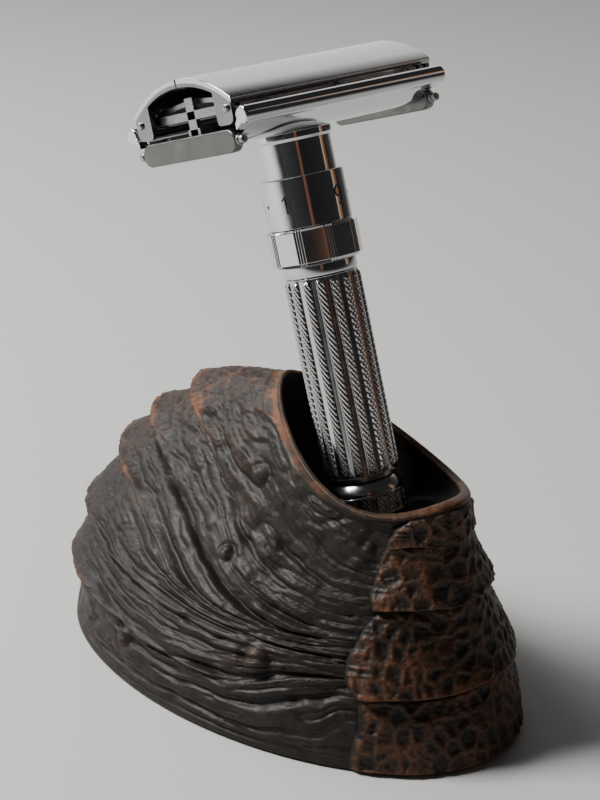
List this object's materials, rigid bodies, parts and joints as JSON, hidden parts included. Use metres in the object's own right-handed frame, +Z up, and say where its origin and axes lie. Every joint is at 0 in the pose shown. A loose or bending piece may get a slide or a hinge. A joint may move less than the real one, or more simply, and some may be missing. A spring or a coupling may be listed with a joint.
{
  "type": "razor stand",
  "caption": "Sculpted scaly hide stand with a leaning socket, holding an adjustable safety razor that lifts out, with twist-open doors and a numbered dial.",
  "frame": {"origin": "centre of the foot, on the surface the stand rests on", "axes": "+X from the plated back to the belly scutes, +Y across to the razor's right-hand side, +Z up"},
  "size_m": [0.0952, 0.0562, 0.1037],
  "materials": {
    "cast_hide": "cold-cast bronze resin, near-black patina with copper brown worn onto the ridges",
    "cast_scute": "the same casting with more copper brown between glossy dark dimples",
    "core_fill": "rough poured gypsum",
    "felt": "pressed dark green felt",
    "chrome_plate": "bright plating",
    "plain_steel": "turned and stamped steel",
    "turned_brass": "turned brass"
  },
  "bodies": {
    "stand": {"hide_shell": "cast_hide", "backfill_core": "core_fill", "felt_pad": "felt", "belly_scute_collar": "cast_scute", "belly_scute_upper": "cast_scute", "belly_scute_middle": "cast_scute", "belly_scute_lower": "cast_scute"},
    "razor": {"grip_sleeve": "chrome_plate", "grip_collar": "chrome_plate", "end_bushing": "turned_brass", "inner_tube": "turned_brass", "blade_tray": "plain_steel", "tension_spring": "plain_steel"},
    "dial": {"dial_sleeve": "chrome_plate", "adjuster_ring": "chrome_plate", "click_ring": "plain_steel"},
    "guard": {"guard_plate": "chrome_plate", "neck_sleeve": "chrome_plate", "end_cap_left": "chrome_plate", "end_cap_right": "chrome_plate", "end_cap_rivets": "plain_steel"},
    "lift": {"draw_rod": "plain_steel", "lift_bar": "plain_steel", "hinge_pins": "plain_steel"},
    "knob": {"twist_knob": "chrome_plate", "knob_stem": "turned_brass", "retaining_clip": "plain_steel"},
    "door_front": {"door_front": "chrome_plate"},
    "door_rear": {"door_rear": "chrome_plate"}
  },
  "joints": [
    {"name": "razor_lift", "type": "slide", "parent": "stand", "child": "razor", "axis": [-0.3007, 0, 0.9537], "range_m": [0, 0.08]},
    {"name": "guard_rise", "type": "slide", "parent": "razor", "child": "guard", "axis": [-0.3007, 0, 0.9537], "range_m": [-0.0004, 0.0004]},
    {"name": "dial_turn", "type": "hinge", "parent": "razor", "child": "dial", "pos_m": [0.0053, 0, 0.07823], "axis": [-0.3007, 0, 0.9537], "range_deg": [-141, 141]},
    {"name": "door_lift", "type": "slide", "parent": "razor", "child": "lift", "axis": [-0.3007, 0, 0.9537], "range_m": [0, 0.003]},
    {"name": "knob_turn", "type": "hinge", "parent": "razor", "child": "knob", "pos_m": [0.0194, 0, 0.0335], "axis": [-0.3007, 0, 0.9537], "range_deg": [0, 452]},
    {"name": "door_front_open", "type": "hinge", "parent": "lift", "child": "door_front", "pos_m": [0.00936, 0, 0.10059], "axis": [0, 1, 0], "range_deg": [0, 81]},
    {"name": "door_rear_open", "type": "hinge", "parent": "lift", "child": "door_rear", "pos_m": [-0.01086, 0, 0.09421], "axis": [0, -1, 0], "range_deg": [0, 81]}
  ],
  "couplings": [
    {"joint": "dial_turn", "follows": "guard_rise", "rad_per_m": 6108.7},
    {"joint": "knob_turn", "follows": "door_lift", "rad_per_m": 2618},
    {"joint": "door_front_open", "follows": "door_lift", "rad_per_m": 465.42},
    {"joint": "door_rear_open", "follows": "door_lift", "rad_per_m": 465.42}
  ]
}
